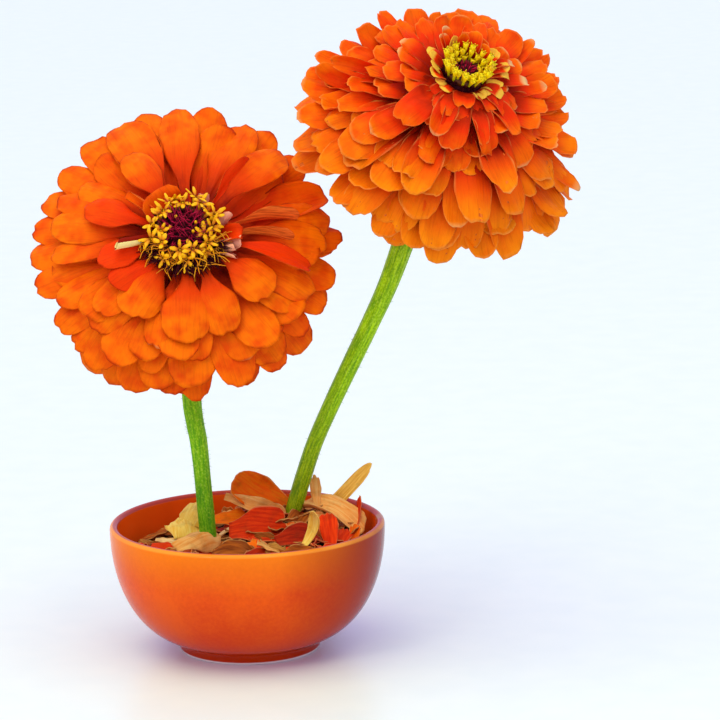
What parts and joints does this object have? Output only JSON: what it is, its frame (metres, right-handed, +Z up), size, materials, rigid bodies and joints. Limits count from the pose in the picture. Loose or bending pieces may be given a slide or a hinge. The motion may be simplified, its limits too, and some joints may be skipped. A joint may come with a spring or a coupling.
{
  "type": "zinnia flower arrangement",
  "caption": "Orange zinnia blossoms on green stems, standing in a small round orange glazed bowl filled with dried petals.",
  "frame": {"origin": "centre of the bowl's flat foot, on the surface it stands on", "axes": "+Z up, -Y towards the side that both blooms face, +X towards the taller flower"},
  "size_m": [0.1962, 0.1019, 0.2289],
  "materials": {
    "bowl": "gloss",
    "floral_foam": "matte",
    "dried_petals": "matte",
    "short_flower_stem": "satin",
    "short_flower_calyx": "satin",
    "short_flower_petals": "satin",
    "short_flower_disc": "matte",
    "short_flower_florets": "satin",
    "tall_flower_stem": "satin",
    "tall_flower_calyx": "satin",
    "tall_flower_petals": "satin",
    "tall_flower_disc": "matte",
    "tall_flower_florets": "satin"
  },
  "bodies": {
    "root": {"bowl": "bowl", "floral_foam": "floral_foam", "dried_petals": "dried_petals", "short_flower_stem": "short_flower_stem", "short_flower_calyx": "short_flower_calyx", "short_flower_petals": "short_flower_petals", "short_flower_disc": "short_flower_disc", "short_flower_florets": "short_flower_florets", "tall_flower_stem": "tall_flower_stem", "tall_flower_calyx": "tall_flower_calyx", "tall_flower_petals": "tall_flower_petals", "tall_flower_disc": "tall_flower_disc", "tall_flower_florets": "tall_flower_florets"}
  },
  "joints": []
}
